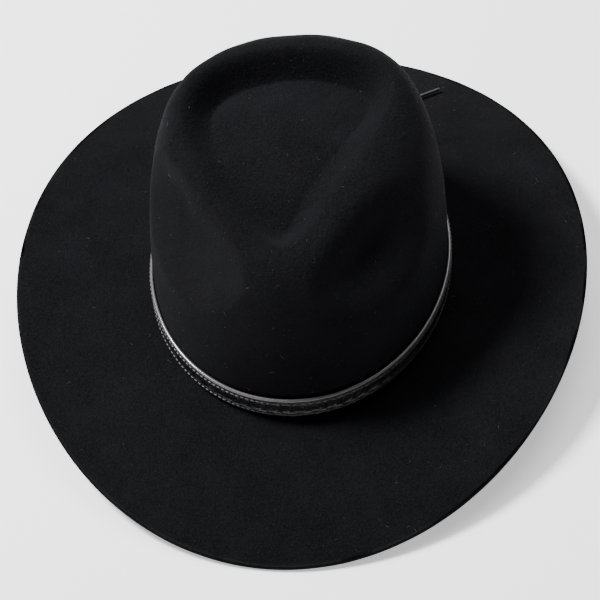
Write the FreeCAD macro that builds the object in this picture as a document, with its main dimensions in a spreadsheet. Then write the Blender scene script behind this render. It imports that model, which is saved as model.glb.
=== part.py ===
import FreeCAD, Part
import math
import os

import Sketcher

# Black felt cowboy hat with a teardrop crown, a curled brim and a laced leather band.
# Millimetres. The hat stands on its brim: +Z up, front towards -Y, wearer's left towards +X,
# and the origin is the middle of its footprint on the table.

Vector = FreeCAD.Vector
doc = FreeCAD.newDocument("CowboyHat")

# ---------------------------------------------------------------- driving dimensions
DIMENSIONS = {
    # the head that the hat fits: inside of the sweatband
    "head_width": 168.0,
    "head_length": 202.0,
    # materials, from the outside in
    "felt_thickness": 2.3,
    "lining_thickness": 0.3,
    "sweatband_thickness": 0.8,
    "layer_clearance": 0.15,
    # brim, measured from the crown's base line
    "brim_front": 87.6,
    "brim_side": 83.3,
    "brim_back": 85.0,
    "brim_drop": 20.0,
    "side_rise": 12.0,
    "brim_twist": 2.3,
    "curl_power": 1.8,
    # crown, measured up from the base line
    "front_height": 98.2,
    "back_height": 122.2,
    "wall_rise": 39.0,
    "shoulder_side": 1.9,
    "shoulder_end": 9.8,
    "shoulder_across": 0.6,
    "shoulder_along": 7.8,
    # teardrop ridge round the top
    "ridge_side_inset": 32.7,
    "ridge_end_inset": 39.8,
    "ridge_taper": 12.5,
    "ridge_along": 6.8,
    "ridge_across": -3.2,
    "ridge_lean": -3.6,
    "ridge_bow": 7.2,
    # hollow inside the ridge
    "dome_height": 110.0,
    "dome_across": -7.0,
    "dome_along": 18.0,
    "dome_round": 0.0022,
    "dome_fall": 0.0056,
    "ridge_wall": 22.0,
    "ridge_wall_back": 16.0,
    # thumb dents either side of the front
    "dent_depth": 12.0,
    "dent_angle": 50.0,
    "dent_spread": 36.0,
    "dent_place": 0.70,
    "dent_reach": 0.26,
    # sweatband and what is sewn to it
    "sweatband_height": 44.0,
    "reed_diameter": 1.6,
    "tape_thickness": 0.3,
    "tape_height": 9.0,
    "thread_diameter": 0.5,
    "back_tape_width": 14.0,
    "bow_width": 20.0,
    "bow_height": 6.4,
    "tag_width": 24.0,
    "tag_height": 13.0,
    "tag_across": 30.0,
    # lining
    "lining_hem": 34.0,
    "lining_seam": 0.84,
    "lining_slack": 0.6,
    "tip_drop": 1.6,
    "film_drop": 1.0,
    "piping_diameter": 2.0,
    "film_thickness": 0.2,
    "film_share": 0.55,
    # leather band
    "band_height": 16.6,
    "band_thickness": 2.1,
    "band_lift": 1.8,
    "band_clearance": 0.3,
    "band_rounding": 0.9,
    "band_gap": 8.0,
    "stitch_inset": 2.6,
    "band_thread": 0.7,
    # lace that ties the band
    "lace_diameter": 2.0,
    "lace_hole": 2.2,
    "hole_spacing": 20.0,
    "knot_width": 7.5,
    "knot_height": 6.2,
}

sizes = doc.addObject("Spreadsheet::Sheet", "sizes")
for row, (name, value) in enumerate(DIMENSIONS.items(), start=1):
    sizes.set(f"A{row}", name.replace("_", " "))
    sizes.set(f"B{row}", str(value))
    sizes.setAlias(f"B{row}", name)
doc.recompute()


def size(name):
    return float(sizes.get(name))


STATIONS = 48                    # points round each ring
STEP = 1e-3                      # step of the surface normals' finite differences
POLE = 0.10                      # share of the crown's top that is closed by a small flat cap
PINHOLE = 0.004                  # share left open where the thin layers under it are drawn together

# felt, and the layers inside it, as depths below the felt's outer surface
feltDepth = size("felt_thickness")
liningOuter = feltDepth + size("layer_clearance")
liningInner = liningOuter + size("lining_thickness")
leatherOuter = liningInner + size("layer_clearance")
leatherInner = leatherOuter + size("sweatband_thickness")

# base oval: the felt's outer surface where the crown meets the brim
baseX = size("head_width") / 2 + leatherInner
baseY = size("head_length") / 2 + leatherInner

# the brim's edge is lowest a little off the front and back lines, because it is twisted
edgeMean = (size("side_rise") - size("brim_drop")) / 2
edgeSwing = math.hypot((size("side_rise") + size("brim_drop")) / 2, size("brim_twist"))
baseZ = edgeSwing - edgeMean + feltDepth         # height of the base line over the table
crownY = (size("brim_front") - size("brim_back")) / 2
seat = Vector(0, crownY, baseZ)                  # middle of the base oval


# ---------------------------------------------------------------- the hat's surfaces
# round: angle from the front towards +X, rise: 0 at the base line, 1 at the ridge
def smooth(value):
    value = min(max(value, 0.0), 1.0)
    return value * value * (3 - 2 * value)


def bezier(a, b, c, d, along):
    back = 1 - along
    return a * back**3 + 3 * b * along * back**2 + 3 * c * along**2 * back + d * along**3


def ridge(angle):
    """Top line of the crown: a rounded triangle with its point at the front."""
    half_width = baseX - size("ridge_side_inset")
    half_length = baseY - size("ridge_end_inset")
    x = size("ridge_across") + size("ridge_lean") * math.cos(angle) + size("ridge_bow") * math.cos(2 * angle)
    x = x + half_width * math.sin(angle) - size("ridge_taper") * math.sin(2 * angle)
    y = size("ridge_along") - half_length * math.cos(angle)
    climb = 0.5 - 0.5 * math.cos(min(abs(angle) * 1.35, math.pi))
    z = size("front_height") + (size("back_height") - size("front_height")) * climb
    return Vector(x, y, z)


def plain_wall(angle, rise):
    top = ridge(angle)
    across, along = math.sin(angle), -math.cos(angle)
    shoulder_x = size("shoulder_across") + (baseX + size("shoulder_side")) * across
    shoulder_y = size("shoulder_along") + (baseY - size("shoulder_end")) * along
    return Vector(bezier(baseX * across, baseX * across, shoulder_x, top.x, rise),
                  bezier(baseY * along, baseY * along, shoulder_y, top.y, rise),
                  bezier(0, size("wall_rise"), top.z, top.z, rise))


def normal_of(surface, first, second):
    """Unit normal from finite differences, pointing out of the hat."""
    one = surface(first + STEP, second) - surface(first - STEP, second)
    two = surface(first, second + STEP) - surface(first, second - STEP)
    return one.cross(two).normalize()


def wall(angle, rise):
    """Crown wall with a thumb dent pushed in along the normal each side of the front."""
    point = plain_wall(angle, rise)
    turn = (math.degrees(abs(angle)) - size("dent_angle")) / size("dent_spread")
    climb = (rise - size("dent_place")) / size("dent_reach")
    push = size("dent_depth") * max(0.0, 1 - turn * turn - climb * climb) ** 2
    if push:
        point = point - normal_of(plain_wall, angle, rise) * push
    return point


def top(angle, inward):
    """Crown top: inward 0 on the ridge, 1 in the middle of the raised dome."""
    edge = ridge(angle)
    dome_x, dome_y = size("dome_across"), size("dome_along")
    x = edge.x + (dome_x - edge.x) * inward
    y = edge.y + (dome_y - edge.y) * inward
    fall = size("dome_fall") if y < dome_y else size("dome_round")
    floor = size("dome_height") - size("dome_round") * (x - dome_x)**2 - fall * (y - dome_y)**2
    tangent = (ridge(angle + STEP) - ridge(angle - STEP)).normalize()
    reach = abs((edge.x - dome_x) * tangent.y - (edge.y - dome_y) * tangent.x)
    backness = max(-math.cos(angle), 0) ** 2
    slope = size("ridge_wall") + (size("ridge_wall_back") - size("ridge_wall")) * backness
    sunk = 0.5 - 0.5 * math.cos(math.pi * min(inward * reach / slope, 1))
    return Vector(x, y, edge.z + (floor - edge.z) * sunk)


def brim(angle, out):
    """Upper face of the brim: out 0 at the base line, 1 at the edge."""
    front = max(math.cos(angle), 0) ** 2
    back = max(-math.cos(angle), 0) ** 2
    side = math.sin(angle) ** 2
    width = size("brim_side") * side + size("brim_front") * front + size("brim_back") * back
    lift = size("side_rise") * side - size("brim_drop") * (front + back)
    lift = lift - size("brim_twist") * math.sin(2 * angle)
    return Vector((baseX + width * out) * math.sin(angle), -(baseY + width * out) * math.cos(angle),
                  lift * out ** size("curl_power"))


def wall_layer(depth):
    return lambda angle, rise: wall(angle, rise) - normal_of(wall, angle, rise) * depth


def top_layer(depth):
    return lambda angle, inward: top(angle, inward) - normal_of(top, angle, max(inward, STEP)) * depth


def pole_ring(depth, share=POLE):
    """Small level ring in the middle of the dome, as a share of the way out to the ridge."""
    level = size("dome_height") - depth
    return ring(lambda angle: Vector(top(angle, 1 - share).x, top(angle, 1 - share).y, level))


# ---------------------------------------------------------------- rings and solids from rings
def ring(place):
    """Closed smooth wire through place(angle), started at the back of the hat."""
    points = [place(-math.pi + 2 * math.pi * k / STATIONS) + seat for k in range(STATIONS)]
    curve = Part.BSplineCurve()
    curve.interpolate(Points=points, PeriodicFlag=True)
    return Part.Wire([curve.toShape()])


def rings(surface, values):
    return [ring(lambda angle, value=value: surface(angle, value)) for value in values]


def skin(wires):
    """Smooth surface through a run of rings."""
    return Part.makeLoft(wires, False, False).Faces


def strips(wires):
    """Ruled strips from each ring of a run to the next."""
    pairs = [Part.makeLoft([one, two], False, True) for one, two in zip(wires, wires[1:])]
    return [face for pair in pairs for face in pair.Faces]


def solid_of(faces):
    shell = Part.Shell(faces)
    if not (shell.isClosed() and shell.isValid()):
        sewn = Part.Compound(faces)
        sewn.sewShape(1e-4)
        shell = sewn.Shells[0]
    solid = Part.Solid(shell)
    if solid.Volume < 0:
        solid.reverse()
    return solid


def spread(first, last, count):
    return [first + (last - first) * k / (count - 1) for k in range(count)]


def rise_at(height, angle=math.pi / 2):
    """Rise whose point on the wall at this angle lies at this height."""
    low, high = 0.0, 1.0
    while high - low > 1e-7:
        middle = (low + high) / 2
        if plain_wall(angle, middle).z < height:
            low = middle
        else:
            high = middle
    return low


def liner(depth):
    """Surface inside the crown at a depth below the felt's outer face, by height."""
    def place(angle, height):
        point = wall_layer(depth)(angle, rise_at(max(height, 0.0), angle))
        return point if height > 0 else Vector(point.x, point.y, height)
    return place


def layer_solid(outer, inner):
    """Thin wall between two runs of rings, closed at both hems."""
    return solid_of(strips(outer + inner[::-1] + outer[:1]))


def section_solid(corners):
    """Closed ring with a polygon section; each corner is a depth and a height."""
    wires = [ring(lambda angle, corner=corner: liner(corner[0])(angle, corner[1])) for corner in corners]
    return solid_of(strips(wires + wires[:1]))


def circle_corners(depth, height, radius, first, last, count):
    return [(depth + radius * math.cos(math.radians(a)), height + radius * math.sin(math.radians(a)))
            for a in spread(first, last, count)]


def patch(depths, heights, low_x, high_x):
    """Short curved strip on the inside of the crown's back, between two values of x."""
    turns = spread(math.pi - math.asin(low_x / baseX), math.pi - math.asin(high_x / baseX), 7)
    run = [(depths[0], turn) for turn in turns] + [(depths[1], turn) for turn in turns[::-1]]
    sections = []
    for height in heights:
        points = [liner(depth)(turn, height) for depth, turn in run]
        points = [Vector(point.x, point.y, height) + seat for point in points]
        sections.append(Part.makePolygon(points + points[:1]))
    return Part.makeLoft(sections, True, True)


def add_shape(label, shape, placement=FreeCAD.Placement()):
    feature = doc.addObject("Part::Feature", label)
    feature.Shape = shape
    feature.Label = label
    feature.Placement = placement
    return feature


# ---------------------------------------------------------------- felt body
WALL_RUN = spread(0.0, 1.0, 21)
TOP_RUN = [0.04, 0.08, 0.12, 0.17, 0.22, 0.28, 0.35, 0.42, 0.50, 0.60, 0.71, 0.81]


def felt_body():
    outer = rings(wall, WALL_RUN) + rings(top, TOP_RUN) + [pole_ring(0)]
    inner = rings(wall_layer(feltDepth), WALL_RUN) + rings(top_layer(feltDepth), TOP_RUN)
    inner += [pole_ring(feltDepth)]
    brim_run = [0.0, 0.2, 0.45, 0.7, 1.0]
    under = Vector(0, 0, -feltDepth)
    upper = [outer[0]] + rings(brim, brim_run[1:])
    lower = rings(lambda angle, out: brim(angle, out) + under, brim_run)
    faces = skin(outer) + skin(inner) + skin(upper) + skin(lower)
    faces += strips([upper[-1], lower[-1]]) + strips([inner[0], lower[0]])
    faces += [Part.Face(outer[-1]), Part.Face(inner[-1])]
    return solid_of(faces)


# ---------------------------------------------------------------- sweatband and its trim
tapeOuter = size("reed_diameter") / 2 + size("tape_thickness") + 0.04
tapeInner = tapeOuter - size("tape_thickness")
reedRadius = size("reed_diameter") / 2 - 0.04
reedDepth = feltDepth + size("layer_clearance") + tapeOuter
REED_HEIGHT = -0.3
leatherFoot = REED_HEIGHT + tapeOuter + size("layer_clearance")
leatherTop = size("sweatband_height")
threadRadius = size("thread_diameter") / 2
stitchHeight = leatherFoot + 2.2
backTapeOuter = leatherInner + size("layer_clearance")
backTapeInner = backTapeOuter + size("tape_thickness")


def sweatband():
    heights = spread(leatherFoot, leatherTop, 9)
    return layer_solid(rings(liner(leatherOuter), heights), rings(liner(leatherInner), heights))


def sweatband_reed():
    return section_solid(circle_corners(reedDepth, REED_HEIGHT, reedRadius, 0, 315, 8))


def sweatband_reed_tape():
    flange = feltDepth + size("layer_clearance")
    corners = [(flange, size("tape_height"))]
    corners += circle_corners(reedDepth, REED_HEIGHT, tapeOuter, 180, 450, 9)
    corners += circle_corners(reedDepth, REED_HEIGHT, tapeInner, 450, 180, 9)
    corners += [(flange + size("tape_thickness"), size("tape_height"))]
    return section_solid(corners)


def sweatband_stitching():
    depth = leatherInner + threadRadius + size("layer_clearance") / 2
    return section_solid(circle_corners(depth, stitchHeight, threadRadius, 0, 300, 6))


def sweatband_back_tape():
    low, half = stitchHeight + size("thread_diameter") + 1, size("back_tape_width") / 2
    return patch((backTapeOuter, backTapeInner), (low, leatherTop - 2), -half, half)


def size_tag():
    outer = feltDepth + size("layer_clearance")
    low, half = size("tape_height") + 3, size("tag_width") / 2
    return patch((outer, outer + size("lining_thickness")), (low, low + size("tag_height")),
                 size("tag_across") - half, size("tag_across") + half)


def sweatband_bow():
    """Flat ribbon bow, as one upright prism: two pointed loops with the knot between them."""
    reach, high, deep = size("bow_width") / 2, size("bow_height"), 1.3
    middle = Vector(0, baseY - backTapeInner - deep - 1.0, stitchHeight + 8) + seat
    half = [(reach, 0), (0.8 * reach, deep), (0.4 * reach, deep), (0.22 * reach, 0.6 * deep),
            (0.22 * reach, deep), (-0.22 * reach, deep), (-0.22 * reach, 0.6 * deep), (-0.4 * reach, deep),
            (-0.8 * reach, deep)]
    outline = half + [(-across, -depth) for across, depth in half]
    foot = [middle + Vector(across, depth, -high / 2) for across, depth in outline]
    return Part.Face(Part.makePolygon(foot + foot[:1])).extrude(Vector(0, 0, high))


# ---------------------------------------------------------------- satin lining
seam = size("lining_seam")
SEAM_GAP = 0.012                 # rise between the seam and the edge of either panel
tipInnerDrop = size("tip_drop") + 1.5 * size("lining_thickness")
filmDrop = tipInnerDrop + size("film_drop")
pipingRadius = size("piping_diameter") / 2


def hung(layer, drop):
    """Surface just under the felt, let straight down by a drop."""
    return lambda first, second: layer(first, second) - Vector(0, 0, drop)


def hung_top(drop, run):
    middle = [pole_ring(liningOuter + drop, share) for share in (POLE, PINHOLE)]
    return rings(hung(top_layer(liningOuter), drop), run) + middle


def hung_tip(drop):
    """Rings of the tip panel from the seam, over the ridge and down into the middle."""
    rises = [seam + SEAM_GAP] + [rise for rise in WALL_RUN if rise > seam + 2 * SEAM_GAP]
    return rings(hung(wall_layer(liningOuter), drop), rises) + hung_top(drop, TOP_RUN)


def lining_side():
    """Side panel: flat against the felt at its hem, and a little loose above the sweatband."""
    hem = rise_at(size("lining_hem"))
    loose = rise_at(size("sweatband_height"))
    rises = [hem] + [rise for rise in WALL_RUN if hem < rise < seam - 2 * SEAM_GAP] + [seam - SEAM_GAP]

    def panel(depth):
        return lambda angle, rise: wall_layer(
            depth + size("lining_slack") * smooth((rise - loose) / 0.1))(angle, rise)
    return layer_solid(rings(panel(liningOuter), rises), rings(panel(liningInner), rises))


def lining_tip():
    return layer_solid(hung_tip(size("tip_drop")), hung_tip(tipInnerDrop))


def lining_piping():
    """Round cord in the seam, made of rings laid side by side round its own middle line."""
    middle = liningInner + 2 * size("lining_slack") + size("tip_drop") + pipingRadius
    wires = []
    for turn in spread(0, 2 * math.pi, 9)[:-1]:
        depth, slide = pipingRadius * math.cos(turn), pipingRadius * math.sin(turn)

        def place(angle, depth=depth, slide=slide):
            along = (wall(angle, seam + STEP) - wall(angle, seam - STEP)).normalize()
            return wall_layer(middle + depth)(angle, seam) + along * slide
        wires.append(ring(place))
    return solid_of(strips(wires + wires[:1]))


def tip_shield():
    run = [value for value in TOP_RUN if value > 1 - size("film_share")]
    return layer_solid(hung_top(filmDrop, run), hung_top(filmDrop + 1.5 * size("film_thickness"), run))


for make in (felt_body, sweatband, sweatband_reed, sweatband_reed_tape, sweatband_stitching,
             sweatband_back_tape, size_tag, sweatband_bow, lining_side, lining_tip, lining_piping,
             tip_shield):
    add_shape(make.__name__, make())


# ---------------------------------------------------------------- leather band
bandInnerX = baseX + size("band_clearance")
bandInnerY = baseY + size("band_clearance")
bandFoot = seat + Vector(0, 0, size("band_lift"))
HALF_X = ("(sizes.head_width / 2 + sizes.felt_thickness + sizes.lining_thickness"
          " + sizes.sweatband_thickness + 2 * sizes.layer_clearance + sizes.band_clearance)")
HALF_Y = HALF_X.replace("head_width", "head_length")


def origin_plane(body, role):
    return next(item for item in body.Origin.OriginFeatures if item.Role == role)


def new_body(label, place):
    body = doc.addObject("PartDesign::Body", label)
    body.Label = label
    body.Placement = FreeCAD.Placement(place, FreeCAD.Rotation())
    return body


def new_sketch(body, name, role):
    sketch = body.newObject("Sketcher::SketchObject", name)
    sketch.AttachmentSupport = [(origin_plane(body, role), "")]
    sketch.MapMode = "FlatFace"
    return sketch


def add_rectangle(sketch, low, high):
    """Four level and upright lines: the first is the foot, the second the right side."""
    corners = [low, Vector(high.x, low.y, 0), high, Vector(low.x, high.y, 0)]
    for k in range(4):
        sketch.addGeometry(Part.LineSegment(corners[k], corners[(k + 1) % 4]), False)
    for k in range(4):
        sketch.addConstraint(Sketcher.Constraint("Coincident", k, 2, (k + 1) % 4, 1))
    for k in (0, 2):
        sketch.addConstraint(Sketcher.Constraint("Horizontal", k))
    for k in (1, 3):
        sketch.addConstraint(Sketcher.Constraint("Vertical", k))


def constrain(sketch, arguments, value, expression):
    row = sketch.addConstraint(Sketcher.Constraint(*arguments, value))
    sketch.setExpression(f"Constraints[{row}]", expression)


def add_oval(sketch, half_x, half_y, expression_x, expression_y):
    """Ellipse about the sketch's origin, long way up, whose axes follow the sheet."""
    up, across, middle = Vector(0, half_y, 0), Vector(half_x, 0, 0), Vector()
    oval = sketch.addGeometry(Part.Ellipse(up, across, middle), False)
    for kind, end, expression in (("Major", up, expression_y), ("Minor", across, expression_x)):
        line = sketch.addGeometry(Part.LineSegment(end * -1, end), True)
        sketch.addConstraint(Sketcher.Constraint(f"InternalAlignment:Ellipse{kind}Diameter", line, oval))
        if kind == "Major":
            sketch.addConstraint(Sketcher.Constraint("Vertical", line))
        constrain(sketch, ("Distance", line), 2 * end.Length, f"2 * ({expression})")
    sketch.addConstraint(Sketcher.Constraint("Coincident", oval, 3, -1, 1))


def cut_back(body, name, draw):
    """Pocket from the middle plane out through the back; stops if it takes nothing away."""
    doc.recompute()
    before = body.Shape.Volume
    sketch = new_sketch(body, name + "_sketch", "XZ_Plane")
    draw(sketch)
    pocket = body.newObject("PartDesign::Pocket", name)
    pocket.Profile = sketch
    pocket.Type = "ThroughAll"
    pocket.Reversed = False
    doc.recompute()
    if body.Shape.Volume > before - 1e-3:
        pocket.Reversed = True
        doc.recompute()
    if body.Shape.Volume > before - 1e-3:
        raise RuntimeError(name + " cuts nothing")


def draw_gap(sketch):
    """Tall rectangle as wide as the gap between the strap's two ends."""
    half, tall = size("band_gap") / 2, 2 * size("band_height")
    add_rectangle(sketch, Vector(-half, -tall, 0), Vector(half, tall, 0))
    sketch.addConstraint(Sketcher.Constraint("Symmetric", 0, 1, 2, 1, -1, 1))
    constrain(sketch, ("Distance", 0), 2 * half, "sizes.band_gap")
    constrain(sketch, ("Distance", 1), 2 * tall, "4 * sizes.band_height")


def draw_lace_holes(sketch):
    """One round hole near each end of the strap, half way up it."""
    for side in (-1, 1):
        x, z, radius = side * size("hole_spacing") / 2, size("band_height") / 2, size("lace_hole") / 2
        hole = sketch.addGeometry(Part.Circle(Vector(x, z, 0), Vector(0, 0, 1), radius), False)
        constrain(sketch, ("DistanceX", -1, 1, hole, 3), x, f"{side} * sizes.hole_spacing / 2")
        constrain(sketch, ("DistanceY", -1, 1, hole, 3), z, "sizes.band_height / 2")
        constrain(sketch, ("Radius", hole), radius, "sizes.lace_hole / 2")


def hat_band_strap():
    body = new_body("hat_band_strap", bandFoot)
    sketch = new_sketch(body, "strap_ovals", "XY_Plane")
    add_oval(sketch, bandInnerX, bandInnerY, HALF_X, HALF_Y)
    add_oval(sketch, bandInnerX + size("band_thickness"), bandInnerY + size("band_thickness"),
             HALF_X + " + sizes.band_thickness", HALF_Y + " + sizes.band_thickness")
    pad = body.newObject("PartDesign::Pad", "strap_pad")
    pad.Profile = sketch
    pad.setExpression("Length", "sizes.band_height")
    doc.recompute()
    edges = [f"Edge{k + 1}" for k, edge in enumerate(pad.Shape.Edges)
             if not isinstance(edge.Curve, Part.Line)]
    fillet = body.newObject("PartDesign::Fillet", "strap_rounding")
    fillet.Base = (pad, edges)
    fillet.setExpression("Radius", "min(sizes.band_rounding; 0.45 * sizes.band_thickness)")
    cut_back(body, "strap_gap", draw_gap)
    cut_back(body, "lace_holes", draw_lace_holes)


def band_stitching(label, height):
    """Thread row on the strap's outer face, open at the gap like the strap."""
    radius = size("band_thread") / 2
    proud = size("band_thickness") + radius
    wires = []
    for turn in spread(0, 2 * math.pi, 9)[:-1]:
        out, up = proud + radius * math.cos(turn), height + radius * math.sin(turn)

        def place(angle, out=out, up=up):
            return Vector((bandInnerX + out) * math.sin(angle), -(bandInnerY + out) * math.cos(angle),
                          size("band_lift") + up)
        wires.append(ring(place))
    gap, tall = size("band_gap"), size("band_height")
    opening = Part.makeBox(gap, baseY, 3 * tall, seat + Vector(-gap / 2, baseY / 2, -tall))
    add_shape(label, solid_of(strips(wires + wires[:1])).cut(opening).Solids[0])


hat_band_strap()
band_stitching("hat_band_lower_stitching", size("stitch_inset"))
band_stitching("hat_band_upper_stitching", size("band_height") - size("stitch_inset"))


# ---------------------------------------------------------------- lace that ties the band
laceRadius = size("lace_diameter") / 2
bandOuterY = bandInnerY + size("band_thickness")
knotMiddle = bandFoot + Vector(0, bandOuterY + laceRadius + 0.1, size("band_height") / 2)
TOWARDS_FRONT = FreeCAD.Rotation(Vector(1, 0, 0), 90)
ALONG_X = FreeCAD.Rotation(Vector(0, 1, 0), 90)


def primitive(kind, name, place, turn=FreeCAD.Rotation(), **expressions):
    item = doc.addObject("Part::" + kind, name)
    for key, expression in expressions.items():
        item.setExpression(key, expression)
    item.Placement = FreeCAD.Placement(place, turn)
    return item


def band_lace():
    """Bar over the gap between the strap's ends, with a leg through each lace hole."""
    half = Vector(size("hole_spacing") / 2, 0, 0)
    parts = [primitive("Cylinder", "lace_bar", knotMiddle - half, ALONG_X,
                       Radius="sizes.lace_diameter / 2", Height="sizes.hole_spacing")]
    for name, end in (("right", knotMiddle - half), ("left", knotMiddle + half)):
        parts.append(primitive("Sphere", "lace_elbow_" + name, end, Radius="sizes.lace_diameter / 2"))
        parts.append(primitive("Cylinder", "lace_leg_" + name, end, TOWARDS_FRONT,
                               Radius="sizes.lace_diameter / 2",
                               Height="sizes.lace_diameter / 2 + sizes.band_thickness"))
    lace = doc.addObject("Part::MultiFuse", "band_lace")
    lace.Shapes = parts
    lace.Label = "band_lace"


def lace_knot():
    """Barrel-shaped knot turned about the bar's axis, with its two outer edges rounded."""
    half, bore, outer = size("knot_width") / 2, laceRadius + 0.02, size("knot_height") / 2
    body = new_body("lace_knot", knotMiddle)
    sketch = new_sketch(body, "knot_outline", "XY_Plane")
    add_rectangle(sketch, Vector(-half, bore, 0), Vector(half, outer, 0))
    constrain(sketch, ("DistanceX", -1, 1, 0, 2), half, "sizes.knot_width / 2")
    constrain(sketch, ("Distance", 0), 2 * half, "sizes.knot_width")
    constrain(sketch, ("DistanceY", -1, 1, 0, 1), bore, "sizes.lace_diameter / 2 + 0.02")
    constrain(sketch, ("DistanceY", -1, 1, 2, 1), outer, "sizes.knot_height / 2")
    turned = body.newObject("PartDesign::Revolution", "knot_turned")
    turned.Profile = sketch
    turned.ReferenceAxis = (sketch, ["H_Axis"])
    turned.Angle = 360
    doc.recompute()
    rims = [f"Edge{k + 1}" for k, edge in enumerate(turned.Shape.Edges)
            if isinstance(edge.Curve, Part.Circle) and abs(edge.Curve.Radius - outer) < 1e-6]
    fillet = body.newObject("PartDesign::Fillet", "knot_rounding")
    fillet.Base = (turned, rims)
    fillet.setExpression("Radius", "0.22 * min(sizes.knot_height; sizes.knot_width)")


# routes of the two free ends, from the knot's middle, down to the brim and out along it
LEFT_TAIL = [(2.9, 1.6, -1.2), (13, 8, -4.4), (27, 17.5, -9.2), (41, 28, -11.9), (55.5, 38.5, -13.9),
             (67.5, 47.6, -15.6)]
RIGHT_TAIL = [(-2.9, 1.6, -1.4), (-12, 8.6, -5.2), (-23, 18.5, -9.4), (-33.5, 30, -12.2), (-46, 38.5, -13.8),
              (-57, 45, -15.0)]


def cord_path(points):
    """Straight runs joined by tangent arcs, each as large as its two runs allow."""
    edges, radii, start = [], [], points[0]
    for before, corner, after in zip(points, points[1:], points[2:]):
        back, ahead = (before - corner).normalize(), (after - corner).normalize()
        turn = math.pi - back.getAngle(ahead)
        reach = 0.45 * min((before - corner).Length, (after - corner).Length)
        radii.append(reach / math.tan(turn / 2))
        inwards = (back + ahead).normalize()
        middle = corner + inwards * (radii[-1] / math.cos(turn / 2) - radii[-1])
        edges.append(Part.LineSegment(start, corner + back * reach).toShape())
        edges.append(Part.Arc(corner + back * reach, middle, corner + ahead * reach).toShape())
        start = corner + ahead * reach
    edges.append(Part.LineSegment(start, points[-1]).toShape())
    return Part.Wire(edges), radii


def lace_tail(label, route):
    points = [knotMiddle + Vector(*offset) for offset in route]
    path, radii = cord_path(points)
    section = Part.Wire([Part.makeCircle(laceRadius, points[0], points[1] - points[0])])
    tube = path.makePipeShell([section], True, False)
    drawn = math.pi * laceRadius**2 * path.Length
    print(f"{label}: length {path.Length:.1f}, radii", [round(radius, 1) for radius in radii],
          f"volume {tube.Volume:.1f} of {drawn:.1f}")
    if abs(tube.Volume / drawn - 1) > 0.01:
        raise RuntimeError(label + " has a wrong volume")
    add_shape(label, tube)


band_lace()
lace_knot()
lace_tail("lace_tail_left", LEFT_TAIL)
lace_tail("lace_tail_right", RIGHT_TAIL)


# ---------------------------------------------------------------- checks and files
NODES = ["felt_body", "sweatband", "sweatband_reed", "sweatband_reed_tape", "sweatband_stitching",
         "sweatband_back_tape", "size_tag", "sweatband_bow", "lining_side", "lining_tip", "lining_piping",
         "tip_shield", "hat_band_strap", "hat_band_lower_stitching", "hat_band_upper_stitching",
         "band_lace", "lace_knot", "lace_tail_left", "lace_tail_right"]

doc.recompute()
for item in doc.Objects:
    if "Invalid" in item.State or "Error" in item.State:
        raise RuntimeError(item.Label + " is " + ", ".join(item.State))

os.makedirs("parts", exist_ok=True)
for label in NODES:
    node = doc.getObjectsByLabel(label)[0]
    if node.Shape.isNull() or not node.Shape.isValid() or not node.Shape.Solids:
        raise RuntimeError(label + " has no valid solid")
    node.Shape.exportStep(f"parts/{label}.step")
    print(f"{label}: {len(node.Shape.Solids)} solid, {node.Shape.Volume:.0f} mm3")
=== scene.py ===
import bpy
import math
import numpy as np
from mathutils import Matrix, Vector


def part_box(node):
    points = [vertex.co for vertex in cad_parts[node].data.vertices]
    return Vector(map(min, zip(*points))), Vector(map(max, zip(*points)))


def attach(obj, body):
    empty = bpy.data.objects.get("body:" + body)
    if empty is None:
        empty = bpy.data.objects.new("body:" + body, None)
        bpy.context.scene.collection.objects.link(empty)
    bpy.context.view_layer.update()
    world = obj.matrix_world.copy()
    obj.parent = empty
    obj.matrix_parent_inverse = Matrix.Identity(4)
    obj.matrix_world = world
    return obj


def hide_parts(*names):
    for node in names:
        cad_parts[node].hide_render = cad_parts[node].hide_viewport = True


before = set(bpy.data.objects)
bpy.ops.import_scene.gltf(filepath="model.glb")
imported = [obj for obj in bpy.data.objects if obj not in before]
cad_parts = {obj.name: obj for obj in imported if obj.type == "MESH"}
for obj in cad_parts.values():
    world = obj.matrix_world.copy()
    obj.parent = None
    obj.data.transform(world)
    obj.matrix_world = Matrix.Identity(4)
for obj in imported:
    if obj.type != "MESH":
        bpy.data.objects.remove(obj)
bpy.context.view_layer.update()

mm = 0.001
print("frame loaded")

# the hat's own form, in mm from the middle of the crown's base line (z up, front towards -y)
hat = {
    "halfWide": 87.7, "halfLong": 104.7,                 # felt's outer oval at the base line
    "felt": 2.3,
    "brimFront": 87.6, "brimSide": 83.3, "brimBack": 85.0,
    "brimDrop": 20.0, "sideRise": 12.0, "twist": 2.3, "curl": 1.8,
    "frontHeight": 98.2, "backHeight": 122.2, "wallRise": 39.0,
    "shoulderSide": 1.9, "shoulderEnd": 9.8, "shoulderX": 0.6, "shoulderY": 7.8,
    "ridgeSide": 32.7, "ridgeEnd": 39.8, "taper": 12.5, "ridgeY": 6.8,
    "ridgeX": -3.2, "lean": -3.6, "bow": 7.2,
    "domeHeight": 110.0, "domeX": -7.0, "domeY": 18.0, "domeRound": 0.0022, "domeFall": 0.0056,
    "ridgeWall": 17.5, "ridgeWallBack": 14.5,
    "dentDepth": 12.0, "dentAngle": 50.0, "dentSpread": 36.0, "dentPlace": 0.70, "dentReach": 0.26,
    "creaseLeft": 1.15, "swell": 0.45, "grooveSharp": 0.6,
}
edgeSwing = math.hypot((hat["sideRise"] + hat["brimDrop"]) / 2, hat["twist"])
baseZ = edgeSwing - (hat["sideRise"] - hat["brimDrop"]) / 2 + hat["felt"]
seat = np.array([0.0, (hat["brimFront"] - hat["brimBack"]) / 2, baseZ])


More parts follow.
